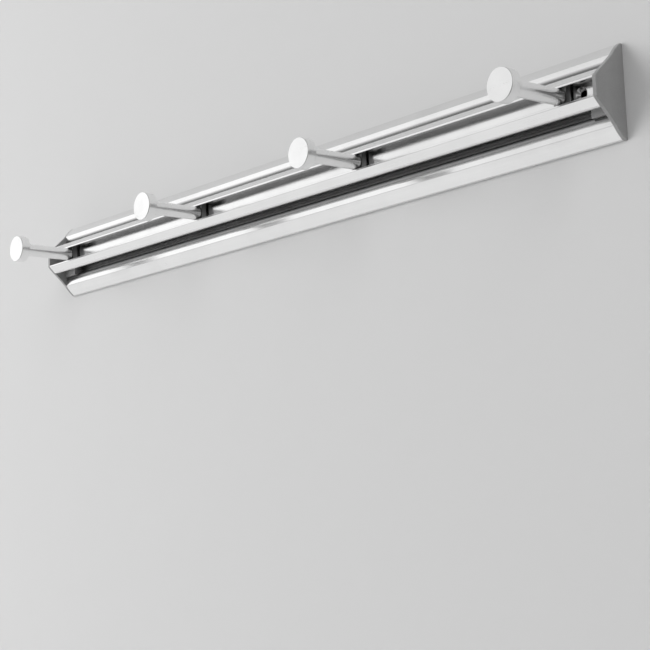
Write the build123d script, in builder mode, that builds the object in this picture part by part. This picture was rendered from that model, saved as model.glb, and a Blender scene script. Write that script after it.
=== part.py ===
from build123d import *
import os
from math import acos, degrees, sqrt

# Wall hook rack, in millimetres.
#
# X runs along the rail, +Z is up and the wall is the plane Y = 0, so the rack stands out towards -Y.
# The origin is the middle of the rail's flat back. A depth is a distance out from the wall, and a
# height is a distance above Z = 0. The rail's section is the same below Z = 0 as above it, so its
# upper half is drawn and mirrored.

# Overall sizes
overall_length = 600.0
rail_height = 57.4
rail_depth = 25.0

# Outside of the section: a flat front with the slot, slanted lips, a hollow, then slanted feet
front_height = 12.3
slot_width = 10.0
lip_tip_setback = 6.9
lip_root_setback = 9.5
lip_tip_radius = 3.0
lip_crown = 0.2
foot_depth = 9.2
foot_top_depth = 1.7
foot_corner_radius = 2.5
foot_corner_drop = 0.8
foot_crown = 0.45
wall_corner_radius = 0.5
nose_height = 2.8
hollow_gap = 1.6
edge_radius = 0.3

# Inside of the section
lip_thickness = 2.6
channel_height = 14.0
channel_depth = 5.4
channel_wall = 2.5
floor_thickness = 2.6
back_thickness = 3.0
foot_wall = 2.2

# End caps: plates, each with two lugs that plug into the hollows above and below the channel
cap_thickness = 2.6
cap_edge_radius = 0.5
lug_length = 15.0
lug_height = 4.0
lug_front_depth = 10.0
lug_clearance = 0.05

# Pegs, turned from round bar
peg_count = 4
end_peg_margin = 30.0
peg_reach = 72.3
head_diameter = 20.5
head_thickness = 7.0
head_front_radius = 0.4
head_back_radius = 0.3
neck_radius = 0.4
shaft_entry = 2.3

# Slot nuts, studs and end pads
stud_diameter = 6.0
stud_grip = 14.0
stud_tip_chamfer = 0.4
nut_thickness = 4.0
nut_chamfer = 0.5
pad_diameter = 5.0
pad_thickness = 1.0
thread_clearance = 0.05
slide_clearance = 0.1

# Two wall screw holes, through the channel floor and the back, each between an end peg and a cap
screw_inset = 18.0
screw_hole_diameter = 4.8
screw_head_diameter = 8.8
countersink_angle = 90.0

# Worked out
rail_length = overall_length - 2 * cap_thickness
half_height = rail_height / 2
half_front = front_height / 2
half_slot = slot_width / 2
half_channel = channel_height / 2
hollow_roof = half_channel + channel_wall
lip_tip_depth = rail_depth - lip_tip_setback
lip_root_depth = rail_depth - lip_root_setback
lip_back_depth = rail_depth - lip_thickness
channel_floor_depth = lip_back_depth - channel_depth
core_depth = channel_floor_depth - floor_thickness - back_thickness
slant = (half_height + foot_corner_drop - half_front) / rail_depth
lip_tip_height = half_front + lip_tip_setback * slant
nose_top = half_front + (rail_depth - foot_depth) * slant
nose_bottom = nose_top - nose_height
roll_radius = nose_bottom - hollow_roof - hollow_gap
roll_centre_depth = foot_depth - roll_radius
peg_spacing = (overall_length - 2 * end_peg_margin) / (peg_count - 1)
peg_places = [(i - (peg_count - 1) / 2) * peg_spacing for i in range(peg_count)]
screw_places = (screw_inset - overall_length / 2, overall_length / 2 - screw_inset)
shaft_start = rail_depth - shaft_entry
shaft_diameter = slot_width - 2 * slide_clearance
head_back = peg_reach - head_thickness
nut_width = slot_width - 2 * slide_clearance
nut_height = channel_height - 2 * slide_clearance
nut_front = lip_back_depth - slide_clearance
pad_back = channel_floor_depth + slide_clearance
stud_back = pad_back + pad_thickness
stud_front = shaft_start + stud_grip


def section_at(place):
    """The rail's section plane at a place along X: local x is the depth, local y the height."""
    return Plane(origin=(place, 0, 0), x_dir=(0, -1, 0), z_dir=(-1, 0, 0))


def turning_at(place):
    """The plane a peg's half outline is drawn on: local x is the radius, local y the depth."""
    return Plane(origin=(place, 0, 0), x_dir=(1, 0, 0), z_dir=(0, 0, -1))


def turning_axis(place):
    """The axis of the peg at a place along X."""
    return Axis((place, 0, 0), (0, -1, 0))


def bore_plane(place, depth):
    """A plane square to a peg's axis at a depth, facing out from the wall."""
    return Plane(origin=(place, -depth, 0), x_dir=(1, 0, 0), z_dir=(0, -1, 0))


def roll_height(depth):
    """Height of the foot's rolled inner side at a depth."""
    return nose_bottom - sqrt(roll_radius**2 - (depth - roll_centre_depth) ** 2)


def crowned(start, end, crown):
    """Draw an arc from one point to another, bulging to its left by the crown."""
    run = (Vector(*end) - Vector(*start)).normalized()
    middle = (Vector(*start) + Vector(*end)) / 2 + Vector(-run.Y, run.X) * crown
    ThreePointArc(start, middle, end)


def foot_line():
    """Draw the foot's outside: up the wall, along the top, down the slant, the nose and the roll."""
    sweep_angle = -degrees(acos((back_thickness - roll_centre_depth) / roll_radius))
    Polyline((0, roll_height(back_thickness)), (0, half_height), (foot_top_depth, half_height))
    crowned((foot_top_depth, half_height), (foot_depth, nose_top), foot_crown)
    Line((foot_depth, nose_top), (foot_depth, nose_bottom))
    CenterArc((roll_centre_depth, nose_bottom), roll_radius, 0, sweep_angle)


def near(shape, depth, height):
    """The corner of a sketch nearest to a depth and a height."""
    return shape.vertices().sort_by_distance((depth, height))[0]


os.makedirs("parts", exist_ok=True)

# The rail: one extrusion with the slotted channel, two feet and countersunk wall screw holes
with BuildPart() as rail_extrusion:
    with BuildSketch(section_at(0)) as rail_section:
        with BuildLine():
            foot_line()
            Polyline(
                (back_thickness, roll_height(back_thickness)),
                (back_thickness, hollow_roof),
                (lip_root_depth, hollow_roof),
                (lip_tip_depth, lip_tip_height),
            )
            crowned((lip_tip_depth, lip_tip_height), (rail_depth, half_front), lip_crown)
            Polyline(
                (rail_depth, half_front),
                (rail_depth, half_slot),
                (lip_back_depth, half_slot),
                (lip_back_depth, half_channel),
                (channel_floor_depth, half_channel),
                (channel_floor_depth, 0),
                (0, 0),
                (0, roll_height(back_thickness)),
            )
        make_face()
        fillet(near(rail_section, foot_top_depth, half_height), foot_corner_radius)
        fillet(near(rail_section, 0, half_height), wall_corner_radius)
        fillet(near(rail_section, lip_tip_depth, lip_tip_height), lip_tip_radius)
        fillet(near(rail_section, foot_depth, nose_top), edge_radius)
        fillet(near(rail_section, rail_depth, half_front), edge_radius)
        fillet(near(rail_section, rail_depth, half_slot), edge_radius)
        mirror(about=Plane.XZ)
    extrude(amount=rail_length / 2, both=True)
    with BuildSketch(section_at(0)) as foot_cores:
        with BuildLine():
            foot_line()
            Polyline(
                (back_thickness, roll_height(back_thickness)),
                (0, roll_height(back_thickness)),
            )
        make_face()
        offset(amount=-foot_wall, kind=Kind.INTERSECTION, mode=Mode.REPLACE)
        mirror(about=Plane.XZ)
    with BuildSketch(section_at(0)) as channel_core:
        with Locations((back_thickness + core_depth / 2, 0)):
            Rectangle(core_depth, channel_height)
    extrude(foot_cores.sketch, amount=rail_length / 2, both=True, mode=Mode.SUBTRACT)
    extrude(channel_core.sketch, amount=rail_length / 2, both=True, mode=Mode.SUBTRACT)
    for screw_place in screw_places:
        with Locations(bore_plane(screw_place, channel_floor_depth)):
            CounterSinkHole(
                radius=screw_hole_diameter / 2,
                counter_sink_radius=screw_head_diameter / 2,
                depth=channel_floor_depth,
                counter_sink_angle=countersink_angle,
            )
rail_extrusion.part.label = "rail_extrusion"
export_step(rail_extrusion.part, "parts/rail_extrusion.step")

# End caps: the plate follows the rail's outline, and two lugs reach in along its hollows
for side, name in ((-1, "end_cap_left"), (1, "end_cap_right")):
    with BuildPart() as end_cap:
        with BuildSketch(section_at(side * rail_length / 2)) as cap_outline:
            with BuildLine():
                Polyline((0, 0), (0, half_height), (foot_top_depth, half_height))
                crowned((foot_top_depth, half_height), (foot_depth, nose_top), foot_crown)
                Line((foot_depth, nose_top), (lip_tip_depth, lip_tip_height))
                crowned((lip_tip_depth, lip_tip_height), (rail_depth, half_front), lip_crown)
                Polyline((rail_depth, half_front), (rail_depth, 0), (0, 0))
            make_face()
            fillet(near(cap_outline, foot_top_depth, half_height), foot_corner_radius)
            fillet(near(cap_outline, 0, half_height), wall_corner_radius)
            fillet(near(cap_outline, rail_depth, half_front), edge_radius)
            mirror(about=Plane.XZ)
        extrude(amount=-side * cap_thickness)
        outer_face = end_cap.faces().sort_by(Axis.X)[-1 if side > 0 else 0]
        fillet(outer_face.edges(), cap_edge_radius)
        with BuildSketch(section_at(side * rail_length / 2)) as lug_outline:
            with Locations((back_thickness + lug_clearance, hollow_roof + lug_clearance)):
                Rectangle(
                    lug_front_depth - back_thickness - lug_clearance,
                    lug_height,
                    align=(Align.MIN, Align.MIN),
                )
            with Locations((roll_centre_depth, nose_bottom)):
                Circle(roll_radius + lug_clearance, mode=Mode.SUBTRACT)
            mirror(about=Plane.XZ)
        extrude(amount=side * lug_length)
    end_cap.part.label = name
    export_step(end_cap.part, "parts/" + name + ".step")

for number, peg_place in enumerate(peg_places, start=1):
    # Peg: a plain shaft with a thick flat-faced head, bored at the back for its stud
    with BuildPart() as peg:
        with BuildSketch(turning_at(peg_place)) as peg_outline:
            with BuildLine():
                Polyline(
                    (shaft_diameter / 2, head_back),
                    (head_diameter / 2, head_back),
                    (head_diameter / 2, peg_reach),
                    (0, peg_reach),
                    (0, stud_front),
                    (stud_diameter / 2 + thread_clearance, stud_front),
                    (stud_diameter / 2 + thread_clearance, shaft_start),
                    (shaft_diameter / 2, shaft_start),
                    (shaft_diameter / 2, head_back),
                )
            make_face()
            fillet(near(peg_outline, head_diameter / 2, peg_reach), head_front_radius)
            fillet(near(peg_outline, head_diameter / 2, head_back), head_back_radius)
            fillet(near(peg_outline, shaft_diameter / 2, head_back), neck_radius)
            chamfer(near(peg_outline, shaft_diameter / 2, shaft_start), edge_radius)
        revolve(axis=turning_axis(peg_place))
    peg.part.label = f"peg_{number}"
    export_step(peg.part, f"parts/peg_{number}.step")

    # Stud: bottoms in the peg's bore and runs back through the nut
    with BuildPart() as stud:
        with BuildSketch(bore_plane(peg_place, stud_back)):
            Circle(stud_diameter / 2)
        extrude(amount=stud_front - stud_back)
        chamfer(stud.edges().filter_by(GeomType.CIRCLE), stud_tip_chamfer)
    stud.part.label = f"stud_{number}"
    export_step(stud.part, f"parts/stud_{number}.step")

    # Slot nut: slides in the channel behind the lips, and the stud turns in its thread. It is narrower
    # than the slot, so the shaft's end hides it.
    with BuildPart() as slot_nut:
        with BuildSketch(bore_plane(peg_place, nut_front)):
            Rectangle(nut_width, nut_height)
        extrude(amount=-nut_thickness)
        chamfer(slot_nut.edges().filter_by(Axis.Y), nut_chamfer)
        with Locations(bore_plane(peg_place, nut_front)):
            Hole(stud_diameter / 2 + thread_clearance)
    slot_nut.part.label = f"slot_nut_{number}"
    export_step(slot_nut.part, f"parts/slot_nut_{number}.step")

    # End pad: bonded to the stud's inner end, it bears on the channel floor when the peg is done up
    with BuildPart() as end_pad:
        with BuildSketch(bore_plane(peg_place, pad_back)):
            Circle(pad_diameter / 2)
        extrude(amount=pad_thickness)
    end_pad.part.label = f"end_pad_{number}"
    export_step(end_pad.part, f"parts/end_pad_{number}.step")
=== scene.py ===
import bpy
from math import cos, pi, radians, sin
from mathutils import Matrix, Vector


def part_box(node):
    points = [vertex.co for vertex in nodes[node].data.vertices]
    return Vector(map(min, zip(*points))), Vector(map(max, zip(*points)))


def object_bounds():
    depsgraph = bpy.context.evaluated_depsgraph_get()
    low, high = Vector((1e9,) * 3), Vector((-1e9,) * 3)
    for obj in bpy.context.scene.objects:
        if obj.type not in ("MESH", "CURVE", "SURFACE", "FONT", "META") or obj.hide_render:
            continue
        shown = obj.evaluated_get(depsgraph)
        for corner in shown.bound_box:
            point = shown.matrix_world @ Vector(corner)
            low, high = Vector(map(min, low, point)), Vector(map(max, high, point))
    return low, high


# Wall hook rack: a polished rail with grey end caps and four bright turned pegs.
#
# Metres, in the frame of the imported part: X runs along the rail, +Z is up, the wall is the plane
# Y = 0 and the rack stands out towards -Y.

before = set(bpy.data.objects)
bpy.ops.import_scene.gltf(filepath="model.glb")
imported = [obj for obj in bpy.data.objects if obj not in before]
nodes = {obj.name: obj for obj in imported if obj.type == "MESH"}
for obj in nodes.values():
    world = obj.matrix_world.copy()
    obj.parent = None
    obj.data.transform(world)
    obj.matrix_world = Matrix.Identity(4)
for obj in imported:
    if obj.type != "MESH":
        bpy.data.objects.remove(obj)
cad_low, cad_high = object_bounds()
pegs = sorted(name for name in nodes if name.startswith("peg_"))


def middle(name):
    """The middle of a CAD node's box."""
    low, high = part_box(name)
    return (Vector(low) + Vector(high)) / 2


# --- Shader helpers ---------------------------------------------------------------------------


class Shade:
    """A short way to add nodes to one node tree and join them up."""

    def __init__(self, tree):
        self.tree = tree

    def add(self, kind, settings=None, **inputs):
        """Add a node. Settings are its own properties; inputs are values or other nodes' outputs."""
        node = self.tree.nodes.new(kind)
        for name, value in (settings or {}).items():
            setattr(node, name, value)
        for name, value in inputs.items():
            self.join(node, name.replace("_", " "), value)
        return node

    def join(self, node, name, value):
        """Set one input of a node, by the socket's name, or by its number as in n0 or n1."""
        number = name[1:] if name[0] == "n" and name[1:].isdigit() else None
        socket = node.inputs[int(number)] if number else node.inputs[name]
        if isinstance(value, bpy.types.NodeSocket):
            self.tree.links.new(value, socket)
        else:
            socket.default_value = value

    def maths(self, operation, *values):
        """One Math node's output."""
        inputs = {f"n{i}": value for i, value in enumerate(values)}
        return self.add("ShaderNodeMath", {"operation": operation}, **inputs).outputs[0]

    def spread(self, value, low, high, new_low=0.0, new_high=1.0):
        """A value taken from one range to another, and held inside it."""
        node = self.add("ShaderNodeMapRange", {"clamp": True}, n0=value, n1=low, n2=high)
        self.join(node, "n3", new_low)
        self.join(node, "n4", new_high)
        return node.outputs[0]

    def noise(self, place, scale, detail=3.0, roughness=0.5):
        """A noise field's value at a place."""
        node = self.add("ShaderNodeTexNoise", Vector=place, Scale=scale, Detail=detail)
        self.join(node, "Roughness", roughness)
        return node.outputs[0]

    def stretched(self, place, stretch):
        """A place scaled by a factor on each axis."""
        return self.add("ShaderNodeMapping", Vector=place, Scale=stretch).outputs[0]

    def object_place(self):
        """Each point's own place on the piece."""
        return self.add("ShaderNodeTexCoord").outputs["Object"]

    def grey(self, level):
        """A neutral colour of a level that changes over the surface."""
        node = self.add("ShaderNodeCombineColor", Red=level, Green=level, Blue=level)
        return node.outputs[0]

    def sum_of(self, start, *shares):
        """A starting value plus each (value, weight) pair."""
        total = start
        for value, weight in shares:
            total = self.maths("MULTIPLY_ADD", value, weight, total)
        return total

    def ramp(self, value, stops):
        """A grey ramp: each stop is a position from 0 to 1 and a level, which may be above 1."""
        node = self.add("ShaderNodeValToRGB", Fac=value)
        elements = node.color_ramp.elements
        while len(elements) > 1:
            elements.remove(elements[0])
        for i, (position, level) in enumerate(stops):
            element = elements[0] if i == 0 else elements.new(position)
            element.position = position
            element.color = (level, level, level, 1)
        return node.outputs[0]

    def placed_group(self, group, **inputs):
        """One of the shared effects, placed with its own values. Gives its outputs."""
        return self.add("ShaderNodeGroup", {"node_tree": group}, **inputs).outputs


# --- Stage, lights and camera -----------------------------------------------------------------

WALL_GAP = 0.0002  # from the rack's back to the wall sheet
OPENING_INSET = 0.002  # from the rack's outline in to the edge of the wall's opening
WALL_GREY, FLOOR_GREY = 0.62, 0.7
PAINT_ROUGHNESS, PAINT_GLOSS = 0.9, 0.2
STAGE_SIDE, STAGE_TOP, STAGE_BOTTOM = 4.0, 3.0, -1.3
FLOOR_FRONT, FLOOR_BACK = -5.0, 1.5


def flat_sheet(name, corners, faces, material):
    """Four-cornered faces in one plane."""
    mesh = bpy.data.meshes.new(name)
    mesh.from_pydata(corners, [], faces)
    mesh.materials.append(material)
    sheet = bpy.data.objects.new(name, mesh)
    bpy.context.scene.collection.objects.link(sheet)
    return sheet


def stage_material(name, grey, see_through_back):
    """Pale matt paint; seen from behind it lets the view through."""
    material = bpy.data.materials.new(name)
    material.use_nodes = True
    shade = Shade(material.node_tree)
    paint = material.node_tree.nodes["Principled BSDF"]
    paint.inputs["Base Color"].default_value = (grey, grey, grey, 1)
    paint.inputs["Roughness"].default_value = PAINT_ROUGHNESS
    paint.inputs["Specular IOR Level"].default_value = PAINT_GLOSS
    if see_through_back:
        back = shade.add("ShaderNodeNewGeometry").outputs["Backfacing"]
        clear = shade.add("ShaderNodeBsdfTransparent")
        mixed = shade.add("ShaderNodeMixShader", n0=back, n1=paint.outputs[0], n2=clear.outputs[0])
        output = material.node_tree.nodes["Material Output"]
        shade.join(output, "Surface", mixed.outputs[0])
    return material


def wall_corners(left, right, bottom, top):
    """The four corners of an upright rectangle in the wall's plane, going round."""
    corners = ((left, bottom), (right, bottom), (right, top), (left, top))
    return [(x, WALL_GAP, z) for x, z in corners]


def floor_corners(left, right, front, back):
    """The four corners of a level rectangle at the bottom of the stage, going round."""
    corners = ((left, front), (right, front), (right, back), (left, back))
    return [(x, y, STAGE_BOTTOM) for x, y in corners]


def build_stage():
    """A pale wall, open behind the rack to let light reach its back, and a pale floor far below."""
    wall_paint = stage_material("wall_paint", WALL_GREY, see_through_back=True)
    floor_paint = stage_material("floor_paint", FLOOR_GREY, see_through_back=False)
    outline = wall_corners(-STAGE_SIDE, STAGE_SIDE, STAGE_BOTTOM, STAGE_TOP)
    opening = wall_corners(
        cad_low[0] + OPENING_INSET, cad_high[0] - OPENING_INSET,
        cad_low[2] + OPENING_INSET, cad_high[2] - OPENING_INSET,
    )
    round_opening = [(0, 1, 5, 4), (1, 2, 6, 5), (2, 3, 7, 6), (3, 0, 4, 7)]
    flat_sheet("wall", outline + opening, round_opening, wall_paint)
    level = floor_corners(-STAGE_SIDE, STAGE_SIDE, FLOOR_FRONT, FLOOR_BACK)
    floor = flat_sheet("floor", level, [(0, 1, 2, 3)], floor_paint)
    floor.visible_glossy = False


# The room's brightness by height angle in degrees, from straight back below (-180) to above (180)
ROOM_BY_HEIGHT = (
    (-180, 0.4), (-100, 0.8), (-62, 0.86), (-52, 0.82), (-44, 0.3), (-36, 0.16), (-16, 0.3),
    (0, 0.7), (12, 1.1), (50, 1.15), (70, 0.85), (95, 0.6), (180, 0.5),
)
# A share of it from far left (0) to far right (1), for the upper part of the room and the lower
ROOM_ABOVE_BY_SIDE = (
    (0.0, 1.1), (0.12, 1.0), (0.19, 0.72), (0.3, 0.5), (0.5, 0.25), (0.75, 0.4), (1.0, 0.5),
)
ROOM_BELOW_BY_SIDE = ((0.0, 1.0), (0.3, 0.95), (0.5, 0.5), (1.0, 0.3))
# The height angles between which the lower part gives way to the upper
ROOM_BELOW_ENDS, ROOM_ABOVE_STARTS = -50, -25


def build_room_light():
    """The room seen in the polished metal: a brightness by height angle, times a share by side."""
    world = bpy.data.worlds.new("room")
    bpy.context.scene.world = world
    world.use_nodes = True
    shade = Shade(world.node_tree)
    direction = shade.add("ShaderNodeTexCoord").outputs["Generated"]
    parts = shade.add("ShaderNodeSeparateXYZ", Vector=direction).outputs
    outward = shade.maths("MULTIPLY", parts["Y"], -1.0)
    angle = shade.maths("ARCTAN2", parts["Z"], outward)
    stops = [((degrees_up + 180) / 360, level) for degrees_up, level in ROOM_BY_HEIGHT]
    by_height = shade.ramp(shade.spread(angle, -pi, pi), stops)
    side = shade.spread(parts["X"], -1.0, 1.0)
    above = shade.ramp(side, ROOM_ABOVE_BY_SIDE)
    below = shade.ramp(side, ROOM_BELOW_BY_SIDE)
    how_high = shade.spread(angle, radians(ROOM_BELOW_ENDS), radians(ROOM_ABOVE_STARTS))
    by_side = shade.add("ShaderNodeMix", {"data_type": "RGBA"}, n0=how_high, n6=below, n7=above)
    level = shade.add(
        "ShaderNodeVectorMath", {"operation": "MULTIPLY"}, n0=by_height, n1=by_side.outputs[2]
    )
    shade.join(world.node_tree.nodes["Background"], "Color", level.outputs[0])


def soft_light(name, place, aim, size, power):
    """A square soft light at a place, turned to its aim, and not seen in the metal."""
    data = bpy.data.lights.new(name, "AREA")
    data.shape = "SQUARE"
    data.size = size
    data.energy = power
    light = bpy.data.objects.new(name, data)
    bpy.context.scene.collection.objects.link(light)
    light.location = place
    light.rotation_mode = "QUATERNION"
    light.rotation_quaternion = (Vector(aim) - Vector(place)).to_track_quat("-Z", "Y")
    light.visible_glossy = False


def build_lights():
    """One broad light from the upper right and one from the left, both in front."""
    soft_light("light_right", place=(1.7, -2.2, 1.7), aim=(0, 0, 0), size=1.8, power=24.0)
    soft_light("light_left", place=(-2.2, -2.0, 0.2), aim=(-0.2, 0, 0), size=2.2, power=62.0)


CAMERA_PLACE = (0.9066, -0.7447, -0.2705)
CAMERA_TURN, CAMERA_TILT, CAMERA_ROLL = 49.815, 8.505, -2.129  # degrees
CAMERA_LENS, CAMERA_SENSOR = 93.7, 36.0  # millimetres


def build_camera():
    """A long lens to the right of the rack and below it, looking up at its middle."""
    turn, tilt, roll = radians(CAMERA_TURN), radians(CAMERA_TILT), radians(CAMERA_ROLL)
    forward = Vector((-sin(turn) * cos(tilt), cos(turn) * cos(tilt), sin(tilt)))
    level = Vector((cos(turn), sin(turn), 0))
    upright = level.cross(forward)
    right = cos(roll) * level + sin(roll) * upright
    up = cos(roll) * upright - sin(roll) * level
    data = bpy.data.cameras.new("camera")
    data.lens = CAMERA_LENS
    data.sensor_width = CAMERA_SENSOR
    camera = bpy.data.objects.new("camera", data)
    bpy.context.scene.collection.objects.link(camera)
    facing = Matrix((right, up, -forward)).transposed().to_4x4()
    camera.matrix_world = Matrix.Translation(CAMERA_PLACE) @ facing
    bpy.context.scene.camera = camera


# --- Shared surface effects -------------------------------------------------------------------


def new_effect(name, inputs, outputs):
    """An empty shared effect. Inputs are (name, kind, value); outputs are names of plain values."""
    tree = bpy.data.node_groups.new(name, "ShaderNodeTree")
    for title, kind, value in inputs:
        socket = tree.interface.new_socket(name=title, in_out="INPUT", socket_type=kind)
        if value is not None:
            socket.default_value = value
    for title in outputs:
        tree.interface.new_socket(name=title, in_out="OUTPUT", socket_type="NodeSocketFloat")
    shade = Shade(tree)
    given = tree.nodes.new("NodeGroupInput").outputs
    result = tree.nodes.new("NodeGroupOutput")
    return tree, shade, given, result


BAND_SHARE = 0.16  # the broad bands' noise scale as a share of the fine lines' scale


def make_fine_lines():
    """Tool lines: fine lines and broad bands of noise, in a place squeezed along the lines."""
    tree, shade, given, result = new_effect(
        "fine_lines",
        [("Place", "NodeSocketVector", None), ("Scale", "NodeSocketFloat", 1.0)],
        ["Lines", "Bands"],
    )
    fine = shade.noise(given["Place"], given["Scale"], 3.0)
    shade.join(result, "Lines", shade.spread(fine, 0.3, 0.7))
    broad_scale = shade.maths("MULTIPLY", given["Scale"], BAND_SHARE)
    broad = shade.noise(given["Place"], broad_scale, 1.0)
    shade.join(result, "Bands", shade.spread(broad, 0.3, 0.7))
    return tree


SPECKLE_SCALE = 900.0
SCRATCH_TURN = (0.4, 0.9, 0.3)  # radians
SCRATCH_STRETCH = (40.0, 900.0, 900.0)
SCRATCH_PATCH_SCALE = 25.0


def make_handling():
    """Marks of use: soft smudges, a thin dust on faces that look up, and short scratches."""
    tree, shade, given, result = new_effect(
        "handling",
        [("Place", "NodeSocketVector", None), ("Smudge Scale", "NodeSocketFloat", 30.0)],
        ["Smudge", "Dust", "Scratch"],
    )
    place = given["Place"]
    smudge = shade.noise(place, given["Smudge Scale"], 4.0, 0.6)
    shade.join(result, "Smudge", shade.spread(smudge, 0.42, 0.72))
    normal = shade.add("ShaderNodeNewGeometry").outputs["Normal"]
    upward = shade.add("ShaderNodeSeparateXYZ", Vector=normal).outputs["Z"]
    speckle = shade.spread(shade.noise(place, SPECKLE_SCALE, 2.0), 0.35, 0.75)
    shade.join(result, "Dust", shade.maths("MULTIPLY", shade.spread(upward, 0.5, 1.0), speckle))
    along_scratch = shade.add(
        "ShaderNodeMapping", Vector=place, Rotation=SCRATCH_TURN, Scale=SCRATCH_STRETCH
    )
    line = shade.noise(along_scratch.outputs[0], 1.0, 2.0)
    patch = shade.spread(shade.noise(place, SCRATCH_PATCH_SCALE, 1.0), 0.5, 0.65)
    shade.join(result, "Scratch", shade.maths("MULTIPLY", shade.spread(line, 0.66, 0.72), patch))
    return tree


EDGE_NOISE_SCALE = 260.0


def make_edge_wear():
    """Worn edges: where a rounded-off normal leaves the real one, broken up by noise."""
    tree, shade, given, result = new_effect(
        "edge_wear",
        [("Place", "NodeSocketVector", None), ("Width", "NodeSocketFloat", 0.0005)],
        ["Edge"],
    )
    rounded = shade.add("ShaderNodeBevel", {"samples": 4}, Radius=given["Width"]).outputs[0]
    real = shade.add("ShaderNodeNewGeometry").outputs["Normal"]
    likeness = shade.add("ShaderNodeVectorMath", {"operation": "DOT_PRODUCT"}, n0=rounded, n1=real)
    near_edge = shade.spread(likeness.outputs["Value"], 0.995, 0.93)
    noise = shade.noise(given["Place"], EDGE_NOISE_SCALE, 3.0)
    broken = shade.spread(noise, 0.35, 0.6, new_low=0.35, new_high=1.0)
    shade.join(result, "Edge", shade.maths("MULTIPLY", near_edge, broken))
    return tree


def make_moulded_grain():
    """Spark-eroded plastic grain: small rounded cells over finer noise."""
    tree, shade, given, result = new_effect(
        "moulded_grain",
        [("Place", "NodeSocketVector", None), ("Scale", "NodeSocketFloat", 2600.0)],
        ["Grain"],
    )
    place, scale = given["Place"], given["Scale"]
    cells = shade.add("ShaderNodeTexVoronoi", {"feature": "SMOOTH_F1"}, Vector=place, Scale=scale)
    fine = shade.noise(place, shade.maths("MULTIPLY", scale, 2.0), 2.0)
    shade.join(result, "Grain", shade.sum_of(0.0, (cells.outputs["Distance"], 0.7), (fine, 0.3)))
    return tree


fine_lines = make_fine_lines()
handling = make_handling()
edge_wear = make_edge_wear()
moulded_grain = make_moulded_grain()


# --- Materials --------------------------------------------------------------------------------

peg_places = [middle(name).x for name in pegs]
peg_spacing = peg_places[1] - peg_places[0]

# The rail's two outer hollows, where shade is painted into the metal's colour, alike above and below
# the middle. Heights are from the middle, depths are along Y, and each fade is how far the painted
# shade takes to come in.
rail_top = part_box("rail_extrusion")[1][2]
HOLLOW_LOW, HOLLOW_LOW_FADE = 0.0095, 0.0015
HOLLOW_HIGH, HOLLOW_HIGH_FADE = rail_top - 0.0106, 0.002
HOLLOW_MOUTH, HOLLOW_DEEP = -0.0105, -0.002
# The foot's rolled inner side closes the groove, and gets at least this much painted shade
ROLL_START, ROLL_FADE, ROLL_SHADE = 0.0118, 0.001, 0.8

DRAWN_SQUEEZE = 0.006  # an extrusion's length as the tool lines see it
METAL_WEAR_WIDTH, PLASTIC_WEAR_WIDTH = 0.0004, 0.0005
PLASTIC_SMUDGE_SCALE, PLASTIC_CLOUD_SCALE = 60.0, 90.0


def new_finish(name, metallic):
    """A new material with its shader, and a way to add nodes to it."""
    material = bpy.data.materials.new(name)
    material.use_nodes = True
    surface = material.node_tree.nodes["Principled BSDF"]
    surface.inputs["Metallic"].default_value = metallic
    return material, surface, Shade(material.node_tree)


def set_relief(shade, surface, height, depth):
    """Bump the surface by a height from 0 to 1, this many metres deep."""
    bump = shade.add("ShaderNodeBump", Strength=1.0, Distance=depth, Height=height)
    shade.join(surface, "Normal", bump.outputs[0])


def turned_place(shade):
    """A place on a turned piece as (distance from its axis, depth, 0): lines run round it."""
    parts = shade.add("ShaderNodeSeparateXYZ", Vector=shade.object_place()).outputs
    along = shade.maths("SUBTRACT", parts["X"], peg_places[0])
    own_x = shade.maths("WRAP", along, peg_spacing / 2, -peg_spacing / 2)
    across = shade.add("ShaderNodeCombineXYZ", X=own_x, Z=parts["Z"]).outputs[0]
    distance = shade.add("ShaderNodeVectorMath", {"operation": "LENGTH"}, n0=across).outputs["Value"]
    return shade.add("ShaderNodeCombineXYZ", X=distance, Y=parts["Y"]).outputs[0]


def drawn_place(shade):
    """A place on an extrusion, squeezed along its length: lines run along it."""
    return shade.stretched(shade.object_place(), (DRAWN_SQUEEZE, 1.0, 1.0))


def painted_hollow_shade(shade, place):
    """Painted shade: how deep a place lies in one of the rail's outer hollows, from 0 to 1."""
    parts = shade.add("ShaderNodeSeparateXYZ", Vector=place).outputs
    height = shade.maths("ABSOLUTE", parts["Z"])
    over_core = shade.spread(height, HOLLOW_LOW - HOLLOW_LOW_FADE, HOLLOW_LOW)
    under_nose = shade.spread(height, HOLLOW_HIGH, HOLLOW_HIGH - HOLLOW_HIGH_FADE)
    inward = shade.spread(parts["Y"], HOLLOW_MOUTH, HOLLOW_DEEP)
    on_roll = shade.spread(height, ROLL_START, ROLL_START + ROLL_FADE, 0.0, ROLL_SHADE)
    deepest = shade.maths("MAXIMUM", inward, on_roll)
    return shade.maths("MULTIPLY", shade.maths("MULTIPLY", over_core, under_nose), deepest)


def no_painted_shade(shade, place):
    """No painted shade, for a piece without hollows."""
    return 0.0


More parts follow.
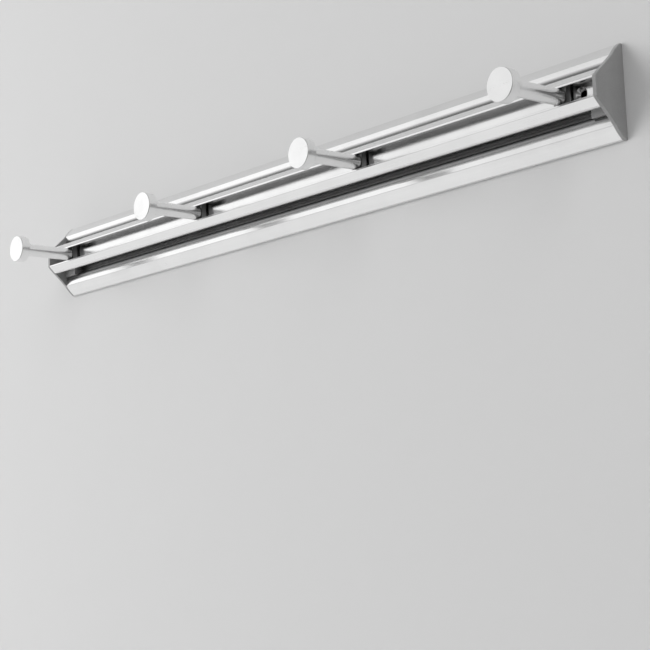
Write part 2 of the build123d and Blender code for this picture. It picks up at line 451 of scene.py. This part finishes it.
def metal_finish(name, place_of, painted_shade_of, level, roughness, line_scale, line_depth, smudge_scale):
    """Bare metal with tool lines, smudges, dust, scratches, worn edges, and painted shade that
    darkens the hollows, which are rougher too.

    place_of gives the place that the tool lines follow, and painted_shade_of the painted shade of the
    hollows.
    """
    material, surface, shade = new_finish(name, 1.0)
    place = shade.object_place()
    lines = shade.placed_group(fine_lines, Place=place_of(shade), Scale=line_scale)
    marks = shade.placed_group(handling, Place=place, Smudge_Scale=smudge_scale)
    edge = shade.placed_group(edge_wear, Place=place, Width=METAL_WEAR_WIDTH)["Edge"]
    # Painted shade: the colour is made darker in the rail's hollows, and the roughness higher
    hollow = painted_shade_of(shade, place)
    shares = (
        (lines["Lines"], 0.02), (lines["Bands"], 0.02), (marks["Smudge"], -0.03),
        (marks["Dust"], -0.05), (edge, 0.03), (hollow, -0.6),
    )
    shade.join(surface, "Base Color", shade.grey(shade.sum_of(level, *shares)))
    rough_shares = (
        (lines["Lines"], 0.04), (lines["Bands"], 0.03), (marks["Smudge"], 0.07),
        (marks["Scratch"], 0.12), (marks["Dust"], 0.12), (edge, 0.1), (hollow, 0.15),
    )
    shade.join(surface, "Roughness", shade.sum_of(roughness, *rough_shares))
    height = shade.sum_of(0.0, (lines["Lines"], 0.6), (lines["Bands"], 0.4), (marks["Scratch"], -0.4))
    set_relief(shade, surface, height, line_depth)
    return material


def plastic_finish(name, level, roughness, grain_scale, grain_depth):
    """Moulded plastic with grain, paler worn edges, smudges and dust."""
    material, surface, shade = new_finish(name, 0.0)
    place = shade.object_place()
    grain = shade.placed_group(moulded_grain, Place=place, Scale=grain_scale)["Grain"]
    marks = shade.placed_group(handling, Place=place, Smudge_Scale=PLASTIC_SMUDGE_SCALE)
    edge = shade.placed_group(edge_wear, Place=place, Width=PLASTIC_WEAR_WIDTH)["Edge"]
    cloudy = shade.noise(place, PLASTIC_CLOUD_SCALE, 3.0)
    shares = (
        (grain, -0.25 * level), (cloudy, 0.12 * level), (marks["Smudge"], 0.06 * level),
        (marks["Dust"], 0.1), (marks["Scratch"], 0.04), (edge, 0.35 * level),
    )
    shade.join(surface, "Base Color", shade.grey(shade.sum_of(level, *shares)))
    rough_shares = ((marks["Smudge"], 0.08), (marks["Dust"], 0.2), (edge, -0.1), (grain, 0.1))
    shade.join(surface, "Roughness", shade.sum_of(roughness, *rough_shares))
    set_relief(shade, surface, grain, grain_depth)
    return material


# The rail's hollows get painted shade in its colour
rail_metal = metal_finish(
    "rail_metal", drawn_place, painted_hollow_shade,
    level=0.88, roughness=0.12, line_scale=700.0, line_depth=2e-6, smudge_scale=22.0,
)
peg_metal = metal_finish(
    "peg_metal", turned_place, no_painted_shade,
    level=0.9, roughness=0.17, line_scale=1500.0, line_depth=2e-6, smudge_scale=60.0,
)
stud_steel = metal_finish(
    "stud_steel", turned_place, no_painted_shade,
    level=0.5, roughness=0.32, line_scale=1800.0, line_depth=6e-6, smudge_scale=80.0,
)
nut_steel = metal_finish(
    "nut_steel", drawn_place, no_painted_shade,
    level=0.3, roughness=0.38, line_scale=1200.0, line_depth=6e-6, smudge_scale=80.0,
)
cap_plastic = plastic_finish(
    "cap_plastic", level=0.34, roughness=0.5, grain_scale=2200.0, grain_depth=1.2e-5
)
pad_plastic = plastic_finish(
    "pad_plastic", level=0.05, roughness=0.5, grain_scale=3500.0, grain_depth=6e-6
)

# The nuts and the studs share one CAD slot, and each has its own steel here
finishes = {"rail": rail_metal, "cap": cap_plastic, "peg": peg_metal, "pad": pad_plastic}
for name, node in nodes.items():
    for slot in node.material_slots:
        steel = nut_steel if name.startswith("slot_nut_") else stud_steel
        slot.material = finishes.get(slot.material.name.split(".")[0], steel)

build_stage()
build_room_light()
build_lights()
build_camera()
bpy.context.scene.view_settings.view_transform = "Standard"
